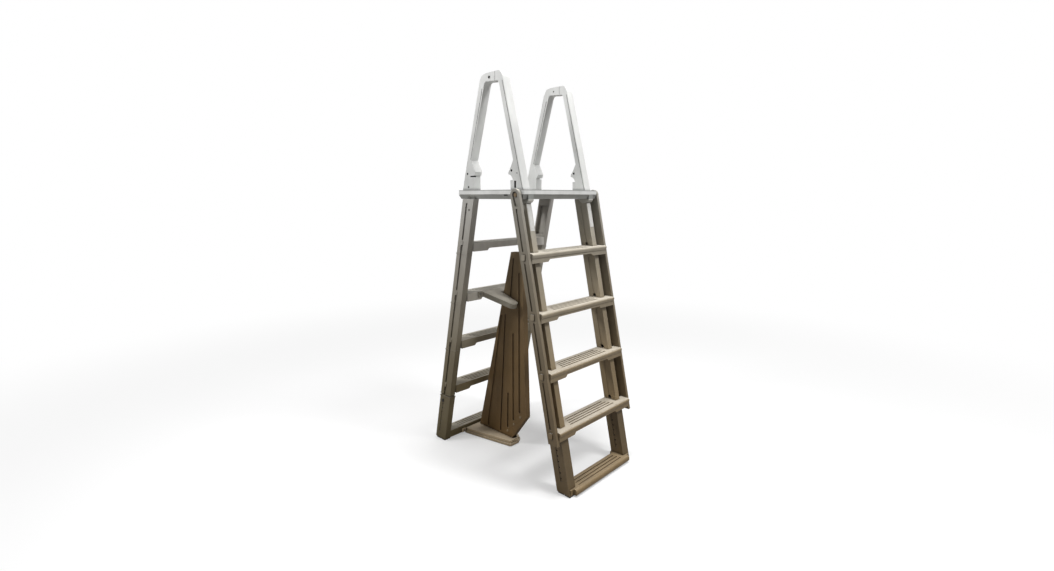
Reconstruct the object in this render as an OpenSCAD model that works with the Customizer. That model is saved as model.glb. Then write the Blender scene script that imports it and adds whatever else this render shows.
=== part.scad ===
// A-frame ladder for an above-ground pool: a platform with two handrail
// arches, a flip-up outer ladder, a fixed in-pool ladder and a swim-through
// barrier. Millimetres. X across the treads, -Y the outside (ground) side,
// +Y the pool side, +Z up, floor at z = 0.

/* [Overall] */
// height of the platform's top above the floor
platform_top = 1338; // [1330:1:1346]
// vertical distance from one tread to the next
rise = 254; // [252:1:255]
// horizontal run of the rails for each millimetre of height
lean = 0.2137; // [0.205:0.0001:0.22]
// half width over the outer faces of the side rails
half_width = 286; // [284:1:290]

/* [Outer ladder] */
// thickness of the outer side wall
wall_t = 15; // [12:1:16]
// depth of the outer side wall, front to back
wall_d = 53; // [52:0.5:55]
// inner face of the box posts, from the middle
post_in = 200; // [198:1:202]
// width of a box post
post_w = 32; // [30:1:32]
// how far a tread's nose stands out in front of the rail
nose_out = 12; // [8:1:14]
// tread depth, front to back
tread_d = 103; // [100:1:105]

/* [In-pool ladder] */
// width of the in-pool rail
rail_w = 33; // [31:1:33]
// depth of the in-pool rail
rail_d = 78; // [76:1:80]
// in-pool treads sit this much higher than the outer ones
pool_shift = 22; // [18:1:26]

/* [Leg extensions] */
// width of an outer leg tube
leg_w = 48; // [46:1:48]
// spacing of the height-setting holes
hole_pitch = 25; // [22:1:25]

/* [Handrails] */
// outer face of each handrail, from the middle
arch_out = 240; // [238:1:242]
// width of a handrail across the ladder
arch_w = 42; // [40:1:44]
// height of the handrails above the platform
arch_h = 511; // [505:1:515]

/* [Barrier] */
// middle of the barrier panel, from the middle of the ladder
bar_x = -35; // [-40:1:-30]
// thickness of the barrier panel
bar_t = 32; // [28:1:34]
// downward tilt of the upper bracket, in degrees
shelf_tilt = 18; // [16:1:20]

/* [Hidden] */
H = platform_top;
HW = half_width;
a0 = 179.1;
function f(z) = a0 + lean*(H - z);
function z0(i) = H - 37.4 - rise*i;
function zp(i) = z0(i) + pool_shift;
pivot = [-158, H - 23];
top_d = 20;
leg_in = post_in - 8;
leg_out = leg_in + leg_w;
wall_in = HW - wall_t;
rail_in = HW - rail_w;
wall_low = 246;
rail_low = zp(4) - 36;
c = 64;

white = [0.86, 0.86, 0.84];
taupe = [0.58, 0.53, 0.46];
dark = [0.12, 0.11, 0.10];
steel = [0.70, 0.70, 0.70];
paper = [0.93, 0.92, 0.90];

// a YZ outline run along X
module yz(x0, x1, pts) { translate([x0, 0, 0]) rotate([90, 0, 90]) linear_extrude(x1 - x0) polygon(pts); }
// an XZ outline run along Y
module xz(y0, y1, pts) { translate([0, y1, 0]) rotate([90, 0, 0]) linear_extrude(y1 - y0) polygon(pts); }
// a bar that follows the outer rail's slope, o measured back from its front edge
module bar(x0, x1, o0, o1, zb, zt) {
  yz(x0, x1, [[-f(zb) + o0, zb], [-f(zb) + o1, zb], [-f(zt) + o1, zt], [-f(zt) + o0, zt]]);
}
module rodx(x0, x1, y, z, r) { translate([x0, y, z]) rotate([0, 90, 0]) cylinder(h = x1 - x0, r = r, $fn = c); }
module rody(y0, y1, x, z, r) { translate([x, y1, z]) rotate([90, 0, 0]) cylinder(h = y1 - y0, r = r, $fn = c); }
module box(x0, x1, y0, y1, z0, z1) { translate([x0, y0, z0]) cube([x1 - x0, y1 - y0, z1 - z0]); }
module left() { mirror([1, 0, 0]) children(); }
module both() { children(); mirror([1, 0, 0]) children(); }
module pool() { mirror([0, 1, 0]) children(); }

// ------------------------------------------------------------ platform
px = 268; pf = -190; pr = 246; bolt_x = 259.5; knuckle_r = 40;
module rounded(x, y0, y1, r) {
  translate([-x + r, y0]) square([2*x - 2*r, y1 - y0]);
  translate([-x, y0 + r]) square([2*x, y1 - y0 - 2*r]);
  for (s = [-1, 1]) for (y = [y0 + r, y1 - r]) translate([s*(x - r), y]) circle(r = r, $fn = c);
}
module platform() color(white) {
  difference() {
    union() {
      difference() {
        union() {
          translate([0, 0, H - top_d]) linear_extrude(top_d) rounded(px, pf, pr, 12);
          // lower band, drawn in on all four sides
          intersection() {
            xz(pf, pr, [[-px + 1.5, H - 19], [px - 1.5, H - 19], [px - 12, H - 41], [-px + 12, H - 41]]);
            yz(-px, px, [[pf + 1.5, H - 19], [pr - 1.5, H - 19], [pr - 12, H - 41], [pf + 12, H - 41]]);
            translate([0, 0, H - 41]) linear_extrude(23) rounded(px - 1, pf + 1, pr - 1, 11);
          }
        }
        // ribbed underside, up to the deck's skin
        for (x = [-3:1:2]) for (y = [0:1:3])
          box(x*82 + 3, x*82 + 79, pf + 14 + y*102, pf + 111 + y*102, H - 42, H - 7);
      }
      // bosses that carry the hinge pins
      both() box(222, px - 2, -178, -134, H - 39, H - 5);
      both() intersection() {
        rodx(199, 233, pivot[0], pivot[1], knuckle_r - 1);
        box(198, 234, pf + 1, pivot[0] + knuckle_r, H - 70, H - 8);
      }
      // pads over the in-pool rails and under the handrail feet
      both() box(248, px - 11, 112, 190, H - 41, H - 5);
      both() box(196, 244, -170, -84, H - 36, H - 5);
      both() box(196, 244, 160, 235, H - 36, H - 5);
    }
    // non-slip grooves
    for (i = [0:1:10]) box(-170, 170, pf + 30 + i*38, pf + 36 + i*38, H - 2.5, H + 1);
    both() rodx(236, px + 1, pivot[0], pivot[1], 8.05);
    both() box(px - 14, px + 1, -94, -68, H - 26, H - 20.5);
    // pockets for the handrail tenons
    both() box(206.7, 231.3, -150.3, -104.7, H - 22, H + 1);
    both() box(206.7, 231.3, 179.7, 225.3, H - 22, H + 1);
    // bolt holes with counterbores
    both() for (y = [130, 170]) {
      translate([bolt_x, y, H - 42]) cylinder(h = 50, r = 3.15, $fn = c);
      translate([bolt_x, y, H - 5]) cylinder(h = 6, r = 6.2, $fn = c);
    }
  }
}
module platform_bolts() color(steel)
  both() for (y = [130, 170]) translate([bolt_x, y, 0]) {
    translate([0, 0, H - 70]) cylinder(h = 66, r = 3.1, $fn = c);
    translate([0, 0, H - 4.5]) cylinder(h = 4, r = 6, $fn = c);
  }
module hinge_pins() color(taupe)
  both() {
    rodx(238, HW - 4.5, pivot[0], pivot[1], 8);
    rodx(HW - 6.5, HW - 3, pivot[0], pivot[1], 9);
  }

// ----------------------------------------------------------- handrails
A = arch_h;
seam = 8;
function fo(z) = -167 + 0.2596*(z - H);
function fi(z) = -136.1 + 0.2543*(z - H);
function ro(z) = 242 - 0.2772*(z - H);
function ri(z) = 214.5 - 0.286*(z - H);
module arch_slice(pts) yz(arch_out - arch_w, arch_out, pts);
module handrail_front() color(white) difference() {
  union() {
    arch_slice([[fo(H), H], [fo(H + A - 32), H + A - 32], [-34, H + A - 13], [-27, H + A - 4], [-17, H + A], [seam - 1.8, H + A + 0.5],
      [seam - 1.8, H + A - 40], [-9, H + A - 42], [-16, H + A - 48], [-20, H + A - 58],
      [fi(H + 128), H + 128], [-88, H + 96], [-76, H + 78], [-73, H + 73], [-76, H + 67], [-86, H + 64],
      [-95, H + 56], [-103, H + 43], [-86, H + 41], [-88, H]]);
    // tenon that enters the rear half
    box(206.3, 231.7, seam - 4, seam + 52, H + A - 32, H + A - 10);
    box(207, 231, -150, -105, H - 19, H + 2);
  }
  // parting groove along the front edge
  for (x = [arch_out - arch_w - 1, arch_out - 1.8]) yz(x, x + 2.8, [[fo(H + 4) + 5, H + 4], [fo(H + A - 44) + 5, H + A - 44],
    [fo(H + A - 44) + 8, H + A - 44], [fo(H + 4) + 8, H + 4]]);
  // pad-eye, slot and pin mark on the latch
  rodx(190, 250, -93, H + 83, 5.5);
  box(arch_out - 8, arch_out + 1, -122, -110, H + 8, H + 38);
  rodx(arch_out - 4, arch_out + 1, -127, H + 71, 3);
  rodx(190, 250, seam + 36, H + A - 20, 3.1);
}
module handrail_rear() color(white) difference() {
  union() {
    arch_slice([[ro(H), H], [ro(H + A - 34), H + A - 34], [97, H + A - 11], [88, H + A - 4], [64, H + A], [seam, H + A + 0.5],
      [seam, H + A - 40], [64, H + A - 35], [74, H + A - 39], [79, H + A - 50],
      [ri(H + 138), H + 138], [150, H + 92], [148, H + 84], [154, H + 69], [160, H + 66], [160, H]]);
    box(207, 231, 180, 225, H - 19, H + 2);
  }
  // socket for the front half's tenon
  box(206, 232, seam - 1, seam + 53, H + A - 32.3, H + A - 9.7);
  rodx(190, 250, seam + 36, H + A - 20, 3.1);
  // parting groove along the inner edge
  for (x = [arch_out - arch_w - 1, arch_out - 1.8]) yz(x, x + 2.8, [[ri(H + 142) + 7, H + 142], [ri(H + A - 62) + 7, H + A - 62],
    [ri(H + A - 62) + 4, H + A - 62], [ri(H + 142) + 4, H + 142]]);
  // slots beside the hinge knuckle and screw seats
  box(arch_out - 14, arch_out + 1, 150, 184, H + 61, H + 67);
  box(arch_out - 3, arch_out + 1, 153.5, 156.5, H, H + 61);
  rodx(arch_out - 4, arch_out + 1, 205, H + 77, 5.2);
  rodx(arch_out - 4, arch_out + 1, 199, H + 15, 5.2);
}
module handrail_screws() color(steel) both() {
  rodx(arch_out - arch_w - 1.5, arch_out + 1, seam + 36, H + A - 20, 3);
  difference() {
    rodx(arch_out, arch_out + 2.2, seam + 36, H + A - 20, 5.5);
    translate([arch_out + 0.8, seam + 36, H + A - 20]) rotate([0, 90, 0]) cylinder(h = 3, r = 2.6, $fn = 6);
  }
  rodx(arch_out - 4, arch_out - 0.5, 205, H + 77, 5);
  rodx(arch_out - 4, arch_out - 0.5, 199, H + 15, 5);
}

// --------------------------------------------------------- outer ladder
module outer_side() color(taupe) difference() {
  union() {
    bar(wall_in, HW, 0, wall_d, wall_low, H - 23);
    rodx(wall_in, HW, pivot[0], pivot[1], 26.4);
    bar(234, wall_in + 1, 45, 51, z0(4) - 22, H - 73);
  }
  // long grooves between the pegs
  bar(HW - 5, HW + 1, 23, 33, z0(1) + 28, H - 82);
  for (i = [2:1:4]) bar(HW - 5, HW + 1, 23, 33, z0(i) + 28, z0(i - 1) - 22);
  // hinge seat
  rodx(HW - 7, HW + 1, pivot[0], pivot[1], 15);
  for (k = [1:1:3]) rodx(HW - 7, HW + 1, pivot[0] - 3.2*k, pivot[1] - 13*k, 15 - k);
  rodx(wall_in - 1, HW + 1, pivot[0], pivot[1], 8.05);
  rodx(HW - 12, HW + 1, pivot[0] + 9, pivot[1] + 9, 3.2);
  rodx(HW - 12, HW + 1, pivot[0] - 9, pivot[1] + 8, 3.2);
  for (i = [1:1:4]) {
    rodx(wall_in - 1, HW + 1, -f(z0(i)) + 30, z0(i) + 3, 6.05);
    box(HW - 3, HW + 1, -f(z0(i)) + 30 - 12, -f(z0(i)) + 30 + 12, z0(i) + 3 - 15, z0(i) + 3 + 15);
  }
}
module outer_post(i) color(taupe) {
  zt = i == 1 ? H - 42 : z0(i - 1) - 22;
  zb = z0(i) + top_d;
  difference() {
    bar(post_in, post_in + post_w, 17.5, 89, zb, zt);
    bar(post_in - 1, post_in + 3, 49, 58, zb + 16, zt - (i == 1 ? 34 : 12));
    bar(post_in - 1, post_in + 9, 45, 62, zb + 3, zb + 17);
    if (i == 1) rodx(post_in - 1, post_in + post_w + 1, pivot[0], pivot[1], knuckle_r);
    bar(post_in + 5, post_in + post_w - 5, 22.5, 84, zb - 1, zt + 1);
  }
}
function nose(y, z) = concat([[y + 6, z], [y + 2.5, z + 1]], [for (k = [0:1:6]) [y + 9 - 9*cos(k*15), z + 11 + 9*sin(k*15)]]);
module tread_body(w_front, w_rear, y, z, n_tab, depth) {
  // nose strip across the full width
  yz(-w_front, w_front, concat(nose(y, z), [[y + n_tab, z + top_d], [y + n_tab, z]]));
  both() box(166, w_front, y + 6, y + n_tab, z - 22, z + 5);
  // deck with a deeper skirt at each end
  xz(y + 6, y + depth, [[-w_rear, z + top_d], [-w_rear, z - 22], [-165, z - 22], [-154, z - 11],
     [154, z - 11], [165, z - 22], [w_rear, z - 22], [w_rear, z + top_d]]);
}
module tread_cuts(y, z, depth, n) {
  // open, ribbed underside
  for (k = [-2:1:2]) for (m = [0:1:1])
    box(k*74 - 34, k*74 + 34, y + 12 + m*(depth - 14)/2, y + 6 + (m + 1)*(depth - 14)/2, z - 23, z + 12);
  // lengthwise grip grooves, each starting a little further in
  for (k = [0:1:n - 1]) box(-168 + k*9, 168 - k*9, y + 26 + k*17, y + 33 + k*17, z + top_d - 4, z + top_d + 1);
}
module outer_tread(i) color(taupe) difference() {
  tread_body(wall_in - 0.5, 233, -f(z0(i)) - nose_out, z0(i), 51, tread_d);
  tread_cuts(-f(z0(i)) - nose_out, z0(i), tread_d, 4);
  both() rodx(251, wall_in + 1, -f(z0(i)) + 30, z0(i) + 3, 6.05);
}
module outer_pegs() color(taupe) both() for (i = [1:1:4]) translate([0, -f(z0(i)) + 30, z0(i) + 3]) {
  rodx(252, HW - 2, 0, 0, 6);
  translate([HW - 3, 0, 0]) rotate([90, 0, 90]) linear_extrude(8) {
    translate([-10, -9]) square([20, 18]);
    translate([-6, -13]) square([12, 26]);
    for (s = [-1, 1]) for (t = [-1, 1]) translate([s*6, t*9]) circle(r = 4, $fn = 32);
  }
}
module outer_guide() color(taupe) difference() {
  bar(post_in + 1, post_in + post_w - 1, 24.5, 83, 92, z0(4) - 22);
  bar(post_in + 20, post_in + post_w, 49, 59, 112, z0(4) - 30);
}
module label_plates() color(paper) both() bar(post_in + 3, post_in + post_w - 3, 16.7, 17.5, 1160, H - 61);

// --------------------------------------------- outer leg and bottom tread
module holes(x0, x1, o, zs, ze, r) for (z = [zs:hole_pitch:ze]) rodx(x0, x1, -f(z) + o, z, r);
module outer_leg() color(taupe) difference() {
  union() {
    bar(leg_in, leg_out, 18, 89.6, 34, z0(4) - 24.5);
    bar(leg_out - 7.5, leg_out, 18, 89.6, 8, 36);
  }
  bar(post_in, post_in + post_w, 23.4, 84.2, 44, z0(4));
  bar(leg_in - 1, leg_in + 2, 49, 59, 62, 242);
  bar(leg_out - 2, leg_out + 1, 49, 59, 62, 242);
  holes(leg_in - 1, leg_out + 1, 54, 75, 205, 3.5);
  rodx(leg_in + 20, leg_out + 1, -f(228) + 54, 228, 3.5);
}
module outer_lock_pins() color(dark) both() {
  rodx(223, leg_out + 1, -f(228) + 54, 228, 3.45);
  rodx(leg_out - 1.9, leg_out + 4, -f(228) + 54, 228, 4.6);
  rodx(leg_out + 2, leg_out + 5, -f(228) + 54, 228, 8);
}
yb = -464.3;
module outer_bottom_tread() color(taupe) difference() {
  union() {
    yz(-212, 212, [[yb + 4, 7], [yb + 1, 10], [yb, 14], [yb, 24], [yb + 2, 29], [yb + 5.5, 32.5], [yb + 10, 34], [-440, 34], [-440, 7]]);
    yz(-232, 232, [[-446, 7], [-446, 34], [-383, 34], [-379, 32], [-378, 29], [-378, 7]]);
    both() box(184, 232, -379, -367, 7, 34);
  }
  for (k = [-2:1:2]) for (m = [0:1:1]) box(k*72 - 33, k*72 + 33, yb + 8 + m*38, yb + 40 + m*38, 6, 24);
  for (k = [0:1:2]) box(-168 + k*6, 168 - k*6, yb + 21 + k*19, yb + 28 + k*19, 30, 35);
}
module pad(x, y) difference() {
  xz(y - 15, y + 15, [[x - 20, 3], [x - 17, 0], [x + 17, 0], [x + 20, 3], [x + 20, 7], [x - 20, 7]]);
  for (s = [-1, 1]) box(x + s*8 - 2, x + s*8 + 2, y - 16, y + 16, -1, 2.5);
}
module outer_feet() color(dark) both() { pad(219, -430); pad(219, -393); }

// -------------------------------------------------------- in-pool ladder
module inner_side() color(taupe) pool() difference() {
  union() {
    bar(rail_in, HW, 0, rail_d, rail_low, H - 41);
    bar(260, 279, 8, 70, 92, rail_low + 5);
    for (i = [1:1:4]) bar(rail_in + 1, HW + 2, -1.5, rail_d + 1.5, zp(i) - 36, zp(i) - 30);
  }
  // open channel on the inner side, between the treads
  for (i = [1:1:4]) bar(rail_in - 1, HW - 10, 7, rail_d - 7, zp(i) + 34, (i == 1 ? H - 78 : zp(i - 1) - 62));
  // groove and clip pockets on the outer face
  for (i = [1:1:4]) {
    bar(HW - 6, HW + 3, 26, 38, zp(i) + 34, (i == 1 ? H - 60 : zp(i - 1) - 18));
    bar(HW - 8, HW + 3, 23, 41, zp(i) - 18, zp(i) + 27);
  }
  bar(HW - 6, HW + 3, 26, 38, rail_low - 1, zp(4) - 17);
  rodx(HW - 6, HW + 1, -f(H - 92) + 55, H - 92, 5);
  // slot in the tongue for the lock pin
  bar(270, 280, 21, 31, 112, 250);
  both() for (y = [130, 170]) translate([bolt_x, -y, H - 75]) cylinder(h = 40, r = 3.15, $fn = c);
}
module inner_tread(i) color(taupe) {
  y = -f(zp(i)) - nose_out;
  d = tread_d - 6;
  pool() difference() {
    tread_body(rail_in, rail_in, y, zp(i), 51, d);
    tread_cuts(y, zp(i), d, 4);
    if (i == 2) for (s = [-1, 1]) rody(y + d - 14, y + d + 1, bar_x + s*138, zp(2) + 8, 2.6);
  }
}
module inner_clips() color(white) both() pool() for (i = [1:1:4]) bar(HW - 8, HW + 1.5, 25, 39, zp(i) + 9, zp(i) + 26);

// ------------------------------------------ in-pool legs and bottom tread
module inner_leg() color(taupe) pool() difference() {
  union() {
    bar(251, 285, -1, 79.5, 7, rail_low - 6);
    bar(249.5, HW + 1.5, -2.5, 81, rail_low - 15, rail_low - 8);
  }
  bar(258.5, 280.5, 6.5, 71.5, 20, 270);
  bar(283, 286, 21, 31, 40, 242);
  holes(270, 290, 26, 60, 210, 3.5);
  rodx(270, 290, -f(232) + 26, 232, 3.5);
}
module inner_lock_pins() color(dark) both() pool() {
  rodx(273, 285, -f(232) + 26, 232, 3.45);
  rodx(283.1, 288, -f(232) + 26, 232, 4.6);
  rodx(286.5, 290, -f(232) + 26, 232, 8);
}
module inner_bottom_tread() color(taupe) pool() difference() {
  yz(-251, 251, [[-460, 10], [-463, 14], [-464, 18], [-463, 36], [-460, 42], [-456, 46], [-450, 48],
     [-386, 48], [-382, 46], [-381, 43], [-381, 10]]);
  for (k = [-2:1:2]) for (m = [0:1:1]) box(k*74 - 34, k*74 + 34, -456 + m*38, -424 + m*38, 9, 40);
  for (k = [0:1:2]) box(-172, 172, -441 + k*17, -436 + k*17, 45, 49);
  for (s = [-1, 1]) rody(-395, -380, bar_x + s*124, 22, 2.6);
}
module inner_feet() color(dark) pool() both() { pad(266, -441); pad(266, -403); }

// --------------------------------------------------------------- barrier
bt = bar_t/2;
module barrier_panel() color(taupe) difference() {
  yz(bar_x - bt, bar_x + bt, [[104, 1033], [29, 1037], [17.4, 700], [-0.5, 172], [112.5, 17], [365, 17]]);
  // hollow, open at the foot where the base plate closes it
  yz(bar_x - bt + 10, bar_x + bt - 10, [[94, 1022], [40, 1025.5], [28, 700], [11, 178], [122, 16], [352, 16]]);
  // moulded channels on both faces
  for (s = [-1, 1]) {
    x0 = bar_x + s*bt;
    channel(x0, 45, 925, 46, 192, 7);
    channel(x0, 90, 605, 91, 138, 7);
    channel(x0, 130, 272, 135, 84, 7);
    channel(x0, 86, 1000, 108, 800, 5);
    channel(x0, 148, 700, 192, 48, 5);
    channel(x0, 176, 690, 290, 50, 8);
  }
}
// a round-ended channel in the YZ plane, centred on the face x
module channel(x, ya, za, yb, zb, r) {
  t = atan2(zb - za, yb - ya);
  yz(x - 6, x + 6, concat(
    [for (k = [-90:30:90]) [yb + r*cos(t + k), zb + r*sin(t + k)]],
    [for (k = [90:30:270]) [ya + r*cos(t + k), za + r*sin(t + k)]]));
}
module barrier_base_plate() color(taupe) difference() {
  union() {
    translate([bar_x, 0, 3]) linear_extrude(13)
      polygon([[-112, 364], [-112, 381], [112, 381], [112, 364], [45, 128], [39, 96], [6, 75], [-50, 75], [-56, 82]]);
    translate([bar_x, 0, 15]) linear_extrude(15)
      polygon([[-106, 364], [-106, 381], [106, 381], [106, 364], [39, 128], [34, 101], [4, 82], [-44, 82], [-50, 88]]);
    for (s = [-1, 1]) box(bar_x + s*124 - 13, bar_x + s*124 + 13, 374, 381, 12, 32);
  }
  box(bar_x - bt - 0.6, bar_x + bt + 0.6, 96, 367, 16.5, 31);
  for (s = [-1, 1]) rody(370, 382, bar_x + s*124, 22, 2.6);
}
module base_plate_screws() color(steel) for (s = [-1, 1]) {
  rody(373, 394, bar_x + s*124, 22, 2.5);
  rody(371, 374, bar_x + s*124, 22, 5.5);
}
ys = f(zp(2)) + nose_out - tread_d + 6;
module barrier_upper_bracket() color(taupe) difference() {
  union() {
    translate([bar_x, ys, zp(2) + top_d - 1]) rotate([shelf_tilt, 0, 0]) translate([0, 0, -26]) linear_extrude(26) difference() {
      union() {
        polygon([[-126, 12], [126, 12], [126, 0], [77, -150], [-77, -150], [-126, 0]]);
        for (s = [-1, 1]) translate([s*49, -150]) circle(r = 28, $fn = c);
      }
      translate([-bt - 4, -200]) square([2*bt + 8, 164]);
    }
    for (s = [-1, 1]) box(bar_x + s*138 - 14, bar_x + s*138 + 14, ys - 6, ys, zp(2) - 6, zp(2) + top_d);
  }
  box(-400, 400, ys, ys + 100, 600, 1000);
  for (s = [-1, 1]) rody(ys - 10, ys + 1, bar_x + s*138, zp(2) + 8, 2.6);
}
module upper_bracket_screws() color(steel) for (s = [-1, 1]) {
  rody(ys - 7, ys + 12, bar_x + s*138, zp(2) + 8, 2.5);
  rody(ys - 9, ys - 6, bar_x + s*138, zp(2) + 8, 5.5);
}

platform();
left() handrail_front();  // handrail_front_left
handrail_front();  // handrail_front_right
left() handrail_rear();  // handrail_rear_left
handrail_rear();  // handrail_rear_right
handrail_screws();
platform_bolts();
hinge_pins();
left() outer_side();  // outer_side_left
outer_side();  // outer_side_right
left() outer_post(1);  // outer_post_1_left
outer_post(1);  // outer_post_1_right
left() outer_post(2);  // outer_post_2_left
outer_post(2);  // outer_post_2_right
left() outer_post(3);  // outer_post_3_left
outer_post(3);  // outer_post_3_right
left() outer_post(4);  // outer_post_4_left
outer_post(4);  // outer_post_4_right
outer_tread(1);  // outer_tread_1
outer_tread(2);  // outer_tread_2
outer_tread(3);  // outer_tread_3
outer_tread(4);  // outer_tread_4
outer_pegs();
left() outer_guide();  // outer_guide_left
outer_guide();  // outer_guide_right
label_plates();
left() outer_leg();  // outer_leg_left
outer_leg();  // outer_leg_right
outer_bottom_tread();
outer_lock_pins();
outer_feet();
left() inner_side();  // inner_side_left
inner_side();  // inner_side_right
inner_tread(1);  // inner_tread_1
inner_tread(2);  // inner_tread_2
inner_tread(3);  // inner_tread_3
inner_tread(4);  // inner_tread_4
inner_clips();
barrier_upper_bracket();
upper_bracket_screws();
left() inner_leg();  // inner_leg_left
inner_leg();  // inner_leg_right
inner_bottom_tread();
inner_lock_pins();
inner_feet();
barrier_base_plate();
base_plate_screws();
barrier_panel();
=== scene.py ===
import math

import bmesh
import bpy
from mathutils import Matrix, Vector


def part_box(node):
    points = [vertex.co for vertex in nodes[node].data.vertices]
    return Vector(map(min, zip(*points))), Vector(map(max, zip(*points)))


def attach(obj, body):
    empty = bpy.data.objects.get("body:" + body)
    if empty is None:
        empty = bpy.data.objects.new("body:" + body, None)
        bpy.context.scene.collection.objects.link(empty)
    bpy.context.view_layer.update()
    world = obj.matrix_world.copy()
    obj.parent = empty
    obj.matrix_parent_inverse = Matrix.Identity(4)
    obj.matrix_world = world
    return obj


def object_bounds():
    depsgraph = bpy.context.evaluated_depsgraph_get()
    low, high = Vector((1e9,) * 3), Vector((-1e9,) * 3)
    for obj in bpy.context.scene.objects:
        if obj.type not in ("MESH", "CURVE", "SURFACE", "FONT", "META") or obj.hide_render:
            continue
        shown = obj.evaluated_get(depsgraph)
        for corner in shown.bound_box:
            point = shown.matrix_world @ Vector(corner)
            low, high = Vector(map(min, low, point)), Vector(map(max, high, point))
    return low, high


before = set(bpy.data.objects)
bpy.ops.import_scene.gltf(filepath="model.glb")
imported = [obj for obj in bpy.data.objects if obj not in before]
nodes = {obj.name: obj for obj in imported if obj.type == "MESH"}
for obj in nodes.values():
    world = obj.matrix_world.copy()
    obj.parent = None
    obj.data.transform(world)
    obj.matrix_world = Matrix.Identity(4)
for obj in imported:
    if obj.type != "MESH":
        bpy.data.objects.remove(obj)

cad_lo, cad_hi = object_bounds()

# ------------------------------------------------------------------ camera
cam_data = bpy.data.cameras.new("camera")
cam_data.sensor_width = 36.0
cam_data.lens = 17.356
cam_data.clip_start = 0.05
cam_data.clip_end = 200.0
camera = bpy.data.objects.new("camera", cam_data)
bpy.context.scene.collection.objects.link(camera)
mid = (cad_lo + cad_hi) / 2
camera.location = (mid.x - 1.8455, mid.y - 1.7138, cad_lo.z + 1.3083)
camera.rotation_euler = (math.radians(80.069), 0.0, math.radians(-46.454))
bpy.context.scene.camera = camera


# --------------------------------------------------------------- materials
def nt(name):
    m = bpy.data.materials.new(name)
    m.use_nodes = True
    t = m.node_tree
    t.nodes.clear()
    out = t.nodes.new("ShaderNodeOutputMaterial")
    b = t.nodes.new("ShaderNodeBsdfPrincipled")
    t.links.new(b.outputs[0], out.inputs[0])
    return m, t, b


def node(t, kind, **kw):
    n = t.nodes.new(kind)
    for k, v in kw.items():
        if hasattr(n, k):
            setattr(n, k, v)
        else:
            n.inputs[k.replace("_", " ")].default_value = v
    return n


def math_node(t, op, a, b=None, clamp=False):
    n = t.nodes.new("ShaderNodeMath")
    n.operation = op
    n.use_clamp = clamp
    for i, v in enumerate((a, b)):
        if v is None:
            continue
        if isinstance(v, (int, float)):
            n.inputs[i].default_value = v
        else:
            t.links.new(v, n.inputs[i])
    return n.outputs[0]


def mix(t, fac, a, b, kind="MIX"):
    n = t.nodes.new("ShaderNodeMix")
    n.data_type = "RGBA"
    n.blend_type = kind
    for i, v in ((0, fac), (6, a), (7, b)):
        if isinstance(v, (int, float)):
            n.inputs[i].default_value = v
        elif isinstance(v, tuple):
            n.inputs[i].default_value = (*v, 1.0)
        else:
            t.links.new(v, n.inputs[i])
    return n.outputs[2]


def ramp(t, fac, stops):
    n = t.nodes.new("ShaderNodeValToRGB")
    e = n.color_ramp.elements
    while len(e) < len(stops):
        e.new(0.5)
    for el, (p, c) in zip(e, stops):
        el.position = p
        el.color = (*c, 1.0) if isinstance(c, tuple) else (c, c, c, 1.0)
    t.links.new(fac, n.inputs[0])
    return n.outputs[0]


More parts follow.
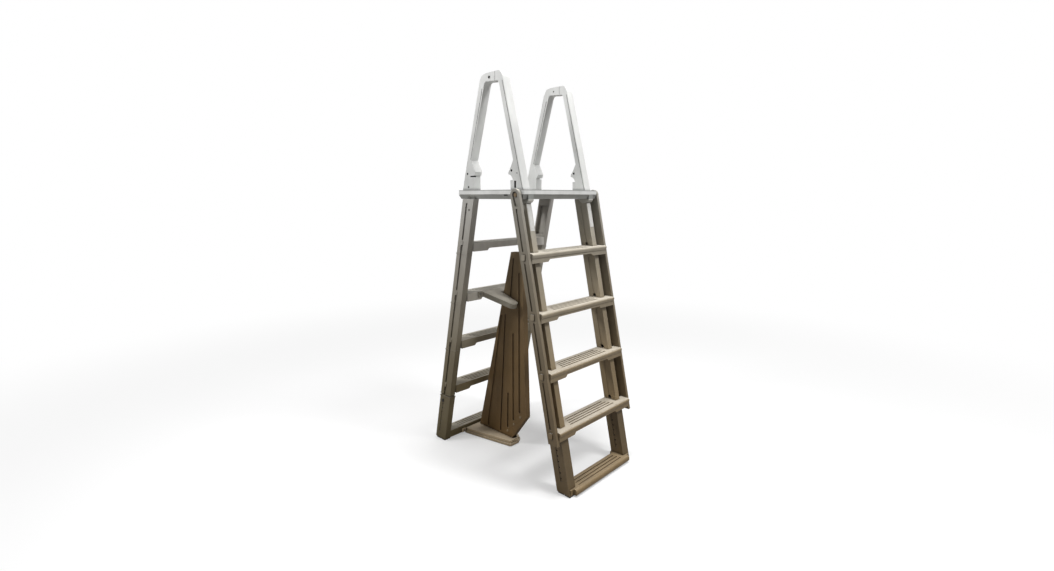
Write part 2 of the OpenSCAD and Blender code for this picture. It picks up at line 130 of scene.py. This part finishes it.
def resin(name, stops, z_lo, z_hi, grain=0.35, rough=(0.42, 0.58), wear=0.10, recess_shade=0.22, top_light=0.0):
    """Moulded resin: colour from the piece's height, lighter towards the top and darker towards the bottom (painted
    light falling off from above), cloudy mottling, patchy painted light on upward faces, scuffed edges, painted shade
    in the recesses, fine texture.
    """
    m, t, b = nt(name)
    co = node(t, "ShaderNodeTexCoord").outputs["Object"]
    sep = node(t, "ShaderNodeSeparateXYZ")
    t.links.new(co, sep.inputs[0])
    # base colour runs with height: painted light, lighter towards the top and darker towards the bottom
    rng = node(t, "ShaderNodeMapRange")
    t.links.new(sep.outputs[2], rng.inputs[0])
    rng.inputs[1].default_value, rng.inputs[2].default_value = z_lo, z_hi
    base = ramp(t, rng.outputs[0], stops)
    cloud = node(t, "ShaderNodeTexNoise", Scale=7.0, Detail=5.0, Roughness=0.55)
    t.links.new(co, cloud.inputs["Vector"])
    mott = ramp(t, cloud.outputs[0], [(0.30, 0.90), (0.70, 1.06)])
    col = mix(t, 1.0, base, mott, "MULTIPLY")
    # flow streaks that follow the long way of the moulding
    stretch = node(t, "ShaderNodeMapping")
    t.links.new(co, stretch.inputs[0])
    stretch.inputs["Scale"].default_value = (26.0, 26.0, 2.2)
    streak = node(t, "ShaderNodeTexNoise", Scale=1.0, Detail=4.0, Roughness=0.6)
    t.links.new(stretch.outputs[0], streak.inputs["Vector"])
    col = mix(t, 1.0, col, ramp(t, streak.outputs[0], [(0.35, 0.95), (0.65, 1.03)]), "MULTIPLY")
    # faces that look up are lightened in patches: painted light from above
    if top_light:
        geo0 = node(t, "ShaderNodeNewGeometry")
        up = node(t, "ShaderNodeSeparateXYZ")
        t.links.new(geo0.outputs["True Normal"], up.inputs[0])
        face = node(t, "ShaderNodeMapRange")
        t.links.new(up.outputs[2], face.inputs[0])
        face.inputs[1].default_value, face.inputs[2].default_value = 0.55, 0.98
        patch = node(t, "ShaderNodeTexNoise", Scale=24.0, Detail=5.0, Roughness=0.65)
        t.links.new(co, patch.inputs["Vector"])
        fac = math_node(t, "MULTIPLY", face.outputs[0], ramp(t, patch.outputs[0], [(0.28, 0.72), (0.62, 1.0)]))
        fac = math_node(t, "MULTIPLY", fac, top_light)
        col = mix(t, fac, col, (0.70, 0.655, 0.57))
    # recesses are darkened by ambient occlusion: painted shade
    ao = node(t, "ShaderNodeAmbientOcclusion", samples=8)
    ao.inputs["Distance"].default_value = 0.018
    recess_shade_ramp = ramp(t, ao.outputs["AO"], [(0.25, 1.0 - recess_shade * 1.6), (0.92, 1.0)])
    col = mix(t, 1.0, col, recess_shade_ramp, "MULTIPLY")
    # scuffed, lighter edges
    bev = node(t, "ShaderNodeBevel", samples=6)
    bev.inputs["Radius"].default_value = 0.0022
    geo = node(t, "ShaderNodeNewGeometry")
    dot = node(t, "ShaderNodeVectorMath", operation="DOT_PRODUCT")
    t.links.new(bev.outputs[0], dot.inputs[0])
    t.links.new(geo.outputs["Normal"], dot.inputs[1])
    edge = math_node(t, "SUBTRACT", 1.0, dot.outputs["Value"])
    edge = math_node(t, "MULTIPLY", edge, 7.0, clamp=True)
    nick = node(t, "ShaderNodeTexNoise", Scale=130.0, Detail=3.0)
    t.links.new(co, nick.inputs["Vector"])
    edge = math_node(t, "MULTIPLY", edge, ramp(t, nick.outputs[0], [(0.42, 0.0), (0.62, 1.0)]))
    edge = math_node(t, "MULTIPLY", edge, wear)
    col = mix(t, edge, col, (0.86, 0.84, 0.79))
    t.links.new(col, b.inputs["Base Color"])
    # roughness and moulded texture
    fine = node(t, "ShaderNodeTexNoise", Scale=900.0, Detail=2.0, Roughness=0.6)
    t.links.new(co, fine.inputs["Vector"])
    mid_n = node(t, "ShaderNodeTexNoise", Scale=60.0, Detail=4.0, Roughness=0.6)
    t.links.new(co, mid_n.inputs["Vector"])
    r = node(t, "ShaderNodeMapRange")
    t.links.new(mid_n.outputs[0], r.inputs[0])
    r.inputs[1].default_value, r.inputs[2].default_value = 0.3, 0.7
    r.inputs[3].default_value, r.inputs[4].default_value = rough
    t.links.new(r.outputs[0], b.inputs["Roughness"])
    bmp = node(t, "ShaderNodeBump")
    bmp.inputs["Strength"].default_value = grain
    bmp.inputs["Distance"].default_value = 0.00035
    t.links.new(fine.outputs[0], bmp.inputs["Height"])
    bmp2 = node(t, "ShaderNodeBump")
    bmp2.inputs["Strength"].default_value = 0.30
    bmp2.inputs["Distance"].default_value = 0.0006
    t.links.new(mid_n.outputs[0], bmp2.inputs["Height"])
    t.links.new(bmp.outputs[0], bmp2.inputs["Normal"])
    t.links.new(bmp2.outputs[0], b.inputs["Normal"])
    b.inputs["Specular IOR Level"].default_value = 0.32
    b.inputs["Coat Weight"].default_value = 0.02
    b.inputs["Coat Roughness"].default_value = 0.35
    return m


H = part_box("platform")[1].z
white = resin("pale_resin", [(0.0, (0.68, 0.685, 0.67)), (1.0, (0.74, 0.745, 0.73))], H - 0.04, cad_hi.z,
              wear=0.12, recess_shade=0.60, rough=(0.34, 0.50))
# brown near the floor to pale grey near the deck: painted light falloff from above on one tan
tan_falloff_stops = [(0.0, (0.245, 0.170, 0.084)), (0.35, (0.285, 0.216, 0.128)), (0.72, (0.365, 0.318, 0.240)), (1.0, (0.47, 0.452, 0.40))]
# deck colour by height: pale below, a dark band, a bright band along the upper edge, a grey top: painted shade on the
# lower edge band and on the top, painted highlight on the upper edge band
deck = resin("deck_resin", [(0.0, (0.58, 0.57, 0.53)), (0.47, (0.60, 0.59, 0.55)), (0.49, (0.33, 0.335, 0.32)), (0.74, (0.35, 0.355, 0.34)),
                            (0.76, (0.80, 0.805, 0.79)), (0.94, (0.82, 0.825, 0.81)), (0.962, (0.47, 0.475, 0.46))], H - 0.08, H - 0.0003,
             wear=0.16, recess_shade=0.30, rough=(0.34, 0.50))
taupe = resin("taupe_resin", tan_falloff_stops, 0.0, H, recess_shade=0.28, top_light=0.62)
low_tread = resin("low_tread_resin", tan_falloff_stops, 0.0, H, recess_shade=0.4, top_light=0.10)
plate = resin("base_plate_resin", [(0.0, (0.60, 0.46, 0.29)), (1.0, (0.69, 0.55, 0.37))], 0.0, 0.04, recess_shade=0.5, top_light=0.3)
# a lighter brown than the panel the bosses stand on: painted highlight on the bosses
boss = resin("boss_resin", [(0.0, (0.30, 0.225, 0.135)), (1.0, (0.34, 0.26, 0.165))], 0.0, 0.2, recess_shade=0.3)
# a darker copy of the tan: painted shade on the outer legs
leg = resin("outer_leg_resin", [(p, tuple(v * 0.62 for v in c)) for p, c in tan_falloff_stops], 0.0, H, recess_shade=0.5, top_light=0.3)
# a darker copy of the tan: painted shade on the outer side walls
wall = resin("outer_wall_resin", [(p, tuple(v * 0.72 for v in c)) for p, c in tan_falloff_stops], 0.0, H, recess_shade=0.28, top_light=0.4)
# the barrier's own brown, darkened further to stand in for the shade on its side faces: partly painted shade
shade = resin("barrier_resin",
              [(0.0, (0.195, 0.118, 0.046)), (0.5, (0.200, 0.128, 0.056)), (1.0, (0.235, 0.172, 0.100))], 0.0, 1.04, wear=0.14, recess_shade=0.38, top_light=0.3)
# dark brown low down to pale grey near the deck: painted light falloff from above
pool_mat = resin("pool_side_resin",
                 [(0.0, (0.140, 0.110, 0.050)), (0.35, (0.225, 0.188, 0.122)), (0.72, (0.39, 0.365, 0.315)), (1.0, (0.50, 0.488, 0.462))],
                 0.0, H, recess_shade=0.30, top_light=0.5)
# dark brown low down to near white near the deck: painted light falloff from above
pool_tread = resin("pool_tread_resin",
                   [(0.0, (0.150, 0.116, 0.052)), (0.35, (0.235, 0.190, 0.115)), (0.55, (0.40, 0.37, 0.31)), (0.72, (0.74, 0.71, 0.65)), (1.0, (0.80, 0.79, 0.76))],
                   0.0, H, recess_shade=0.28, top_light=0.5)


def sticker():
    """A blank sticker: one pale field, a little worn and soiled."""
    m, t, b = nt("label")
    co = node(t, "ShaderNodeTexCoord").outputs["Object"]
    fade = node(t, "ShaderNodeTexNoise", Scale=90.0, Detail=5.0, Roughness=0.7)
    t.links.new(co, fade.inputs["Vector"])
    t.links.new(ramp(t, fade.outputs[0], [(0.30, (0.60, 0.59, 0.555)), (0.55, (0.70, 0.695, 0.67)), (0.80, (0.74, 0.735, 0.71))]), b.inputs["Base Color"])
    t.links.new(ramp(t, fade.outputs[0], [(0.3, 0.32), (0.7, 0.5)]), b.inputs["Roughness"])
    return m


label_mat = sticker()


def rubber():
    m, t, b = nt("dark_rubber")
    co = node(t, "ShaderNodeTexCoord").outputs["Object"]
    n = node(t, "ShaderNodeTexNoise", Scale=240.0, Detail=4.0)
    t.links.new(co, n.inputs["Vector"])
    t.links.new(ramp(t, n.outputs[0], [(0.3, (0.022, 0.02, 0.018)), (0.7, (0.05, 0.045, 0.04))]), b.inputs["Base Color"])
    t.links.new(ramp(t, n.outputs[0], [(0.3, 0.62), (0.7, 0.85)]), b.inputs["Roughness"])
    bm = node(t, "ShaderNodeBump", Strength=0.5, Distance=0.0006)
    t.links.new(n.outputs[0], bm.inputs["Height"])
    t.links.new(bm.outputs[0], b.inputs["Normal"])
    return m


def steel(name="steel", tone=1.0):
    m, t, b = nt(name)
    co = node(t, "ShaderNodeTexCoord").outputs["Object"]
    mp = node(t, "ShaderNodeMapping")
    mp.inputs["Scale"].default_value = (120.0, 900.0, 900.0)
    t.links.new(co, mp.inputs[0])
    n = node(t, "ShaderNodeTexNoise", Scale=1.0, Detail=3.0)
    t.links.new(mp.outputs[0], n.inputs["Vector"])
    spot = node(t, "ShaderNodeTexNoise", Scale=180.0, Detail=4.0)
    t.links.new(co, spot.inputs["Vector"])
    t.links.new(ramp(t, spot.outputs[0], [(0.35, tuple(tone * v for v in (0.24, 0.235, 0.225))), (0.7, tuple(tone * v for v in (0.46, 0.455, 0.44)))]), b.inputs["Base Color"])
    t.links.new(ramp(t, n.outputs[0], [(0.3, 0.28), (0.7, 0.46)]), b.inputs["Roughness"])
    b.inputs["Metallic"].default_value = 1.0
    bm = node(t, "ShaderNodeBump", Strength=0.15, Distance=0.0003)
    t.links.new(n.outputs[0], bm.inputs["Height"])
    t.links.new(bm.outputs[0], b.inputs["Normal"])
    return m


rubber_mat, steel_mat = rubber(), steel()
dark_steel = steel("dark_steel", 0.12)


def assign(o, m):
    o.data.materials.clear()
    o.data.materials.append(m)


for n, o in nodes.items():
    if n == "platform":
        assign(o, deck)
    elif n == "outer_bottom_tread":
        assign(o, low_tread)
    elif n.startswith("inner_tread"):
        assign(o, pool_tread)
    elif n == "barrier_base_plate":
        assign(o, plate)
    elif n.startswith("outer_leg"):
        assign(o, leg)
    elif n.startswith("handrail_front") or n.startswith("handrail_rear"):
        assign(o, white)
    elif n == "handrail_screws":
        assign(o, dark_steel)
    elif n in ("platform_bolts", "upper_bracket_screws", "base_plate_screws"):
        assign(o, steel_mat)
    elif n.endswith("lock_pins") or n.endswith("feet"):
        assign(o, rubber_mat)
    elif n in ("barrier_panel", "hinge_pins"):
        assign(o, shade)
    elif n == "label_plates":
        assign(o, label_mat)
    elif n == "barrier_upper_bracket":
        assign(o, pool_mat)
    elif n.startswith("outer_side"):
        assign(o, wall)
    elif n.startswith("inner"):
        assign(o, pool_mat)
    else:
        assign(o, taupe)


# soft moulded edges on the carried-over parts
def soften(o, width, seg=3, angle=32.0):
    for p in o.data.polygons:
        p.use_smooth = True
    w = o.modifiers.new("weld", "WELD")
    w.merge_threshold = 0.00002
    d = o.modifiers.new("flat", "DECIMATE")
    d.decimate_type = "DISSOLVE"
    d.angle_limit = math.radians(0.6)
    b = o.modifiers.new("edge", "BEVEL")
    b.width = width
    b.segments = seg
    b.limit_method = "ANGLE"
    b.angle_limit = math.radians(angle)
    b.harden_normals = False
    b.use_clamp_overlap = True
    b.miter_outer = "MITER_SHARP"
    n = o.modifiers.new("normals", "WEIGHTED_NORMAL")
    n.weight = 100
    n.keep_sharp = False


for n, o in nodes.items():
    if n.startswith("handrail_front") or n.startswith("handrail_rear"):
        soften(o, 0.0035, 3)
    elif n == "platform":
        soften(o, 0.0035, 3)
    elif n.endswith("feet") or "screws" in n or "bolts" in n or "pins" in n or n == "inner_clips":
        soften(o, 0.0008, 2)
    elif "tread" in n or n.startswith("barrier"):
        soften(o, 0.0022, 3)
    else:
        soften(o, 0.0022, 3)

# ------------------------------------------------------------ detail pieces
def mesh_object(name, verts, faces, mat, body, smooth=True, bevel=0.0):
    me = bpy.data.meshes.new(name)
    me.from_pydata([tuple(v) for v in verts], [], faces)
    me.update()
    bm = bmesh.new()
    bm.from_mesh(me)
    bmesh.ops.recalc_face_normals(bm, faces=bm.faces)
    bm.to_mesh(me)
    bm.free()
    for p in me.polygons:
        p.use_smooth = smooth
    o = bpy.data.objects.new(name, me)
    bpy.context.scene.collection.objects.link(o)
    me.materials.append(mat)
    if bevel:
        b = o.modifiers.new("edge", "BEVEL")
        b.width, b.segments, b.limit_method, b.angle_limit = bevel, 3, "ANGLE", math.radians(30)
        n = o.modifiers.new("normals", "WEIGHTED_NORMAL")
        n.keep_sharp = False
    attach(o, body)
    return o


def dome(cx, cy, cz, ry, rz, h, tilt, side, verts, faces, rings=7, seg=28):
    """A low rounded boss standing on an X face, as a closed shell."""
    base = len(verts)
    ct, st = math.cos(tilt), math.sin(tilt)
    prof = [(1.0, -0.6), (1.0, 0.0)] + [(math.cos(k * math.pi / 2 / rings) ** 0.7, math.sin(k * math.pi / 2 / rings)) for k in range(1, rings)]
    for r, z in prof:
        for i in range(seg):
            a = 2 * math.pi * i / seg
            u, v = r * ry * math.cos(a), r * rz * math.sin(a)
            verts.append((cx + side * z * h, cy + u * ct - v * st, cz + u * st + v * ct))
    top = len(verts)
    verts.append((cx + side * h, cy, cz))
    bot = len(verts)
    verts.append((cx - side * 0.6 * h, cy, cz))
    for k in range(len(prof) - 1):
        for i in range(seg):
            j = (i + 1) % seg
            faces.append((base + k * seg + i, base + k * seg + j, base + (k + 1) * seg + j, base + (k + 1) * seg + i))
    last = base + (len(prof) - 1) * seg
    for i in range(seg):
        j = (i + 1) % seg
        faces.append((last + i, last + j, top))
        faces.append((base + j, base + i, bot))


# bosses below the lower ends of the panel's three main channels, both faces
p_lo, p_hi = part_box("barrier_panel")
verts, faces = [], []
for side, x in ((-1, p_lo.x), (1, p_hi.x)):
    for y, z in ((0.040, 0.166), (0.089, 0.112), (0.137, 0.060)):
        dome(x, y, z, 0.0085, 0.0065, 0.0034, math.radians(-50), side, verts, faces)
mesh_object("panel_bosses", verts, faces, boss, "inner_leg_set")

# ------------------------------------------------------------------- studio
def studio():
    bpy.context.scene.view_settings.view_transform = "Standard"
    w = bpy.data.worlds.new("studio")
    bpy.context.scene.world = w
    w.use_nodes = True
    t = w.node_tree
    t.nodes.clear()
    out = t.nodes.new("ShaderNodeOutputWorld")
    seen = t.nodes.new("ShaderNodeBackground")
    seen.inputs[0].default_value = (1.0, 1.0, 1.0, 1.0)
    seen.inputs[1].default_value = 1.0
    fill = t.nodes.new("ShaderNodeBackground")
    co = t.nodes.new("ShaderNodeTexCoord")
    sep = t.nodes.new("ShaderNodeSeparateXYZ")
    t.links.new(co.outputs["Generated"], sep.inputs[0])
    sky = ramp(t, sep.outputs[2], [(0.0, (0.20, 0.20, 0.20)), (0.45, (0.42, 0.42, 0.42)), (1.0, (0.95, 0.95, 0.95))])
    t.links.new(sky, fill.inputs[0])
    fill.inputs[1].default_value = 0.56
    ray = t.nodes.new("ShaderNodeLightPath")
    pick = t.nodes.new("ShaderNodeMixShader")
    t.links.new(ray.outputs["Is Camera Ray"], pick.inputs[0])
    t.links.new(fill.outputs[0], pick.inputs[1])
    t.links.new(seen.outputs[0], pick.inputs[2])
    t.links.new(pick.outputs[0], out.inputs[0])

    bm = bmesh.new()
    bmesh.ops.create_grid(bm, x_segments=4, y_segments=4, size=60.0)
    me = bpy.data.meshes.new("floor")
    bm.to_mesh(me)
    bm.free()
    floor = bpy.data.objects.new("floor", me)
    floor.location = (0, 0, cad_lo.z - 0.0002)
    bpy.context.scene.collection.objects.link(floor)
    m, t, b = nt("floor")
    ray = node(t, "ShaderNodeLightPath")
    t.links.new(mix(t, ray.outputs["Is Camera Ray"], (0.38, 0.37, 0.36), (0.90, 0.90, 0.90)), b.inputs["Base Color"])
    b.inputs["Roughness"].default_value = 0.9
    b.inputs["Specular IOR Level"].default_value = 0.1
    # the floor pales into the white background with distance from the object; camera rays also see a white glow, at
    # least 35% even next to the object, which lightens the cast shadow: painted light
    co = node(t, "ShaderNodeTexCoord").outputs["Object"]
    ln = node(t, "ShaderNodeVectorMath", operation="LENGTH")
    t.links.new(co, ln.inputs[0])
    far = node(t, "ShaderNodeMapRange")
    far.interpolation_type = "SMOOTHSTEP"
    t.links.new(ln.outputs["Value"], far.inputs[0])
    far.inputs[1].default_value, far.inputs[2].default_value = 0.7, 4.5
    far.inputs[3].default_value = 0.35
    glow = node(t, "ShaderNodeEmission")
    glow.inputs[0].default_value = (1, 1, 1, 1)
    glow.inputs[1].default_value = 1.0
    fac = math_node(t, "MULTIPLY", far.outputs[0], ray.outputs["Is Camera Ray"])
    mx = node(t, "ShaderNodeMixShader")
    t.links.new(fac, mx.inputs[0])
    t.links.new(b.outputs[0], mx.inputs[1])
    t.links.new(glow.outputs[0], mx.inputs[2])
    outn = [x for x in t.nodes if x.type == "OUTPUT_MATERIAL"][0]
    t.links.new(mx.outputs[0], outn.inputs[0])
    floor.data.materials.append(m)

    def area(name, loc, aim, size, power, col=(1, 1, 1)):
        d = bpy.data.lights.new(name, "AREA")
        d.shape = "DISK"
        d.size = size
        d.energy = power
        d.color = col
        o = bpy.data.objects.new(name, d)
        o.location = loc
        o.rotation_euler = (Vector(aim) - Vector(loc)).to_track_quat("-Z", "Y").to_euler()
        o.visible_camera = False
        bpy.context.scene.collection.objects.link(o)

    area("front_top", (0.70, -2.84, 4.62), (0, -0.25, 0.7), 1.25, 120)
    area("left_top", (-1.75, 0.95, 2.45), (0, 0.15, 1.45), 0.55, 27)
    area("overhead", (0.0, -0.40, 5.0), (0, -0.2, 1.0), 1.3, 128)


studio()
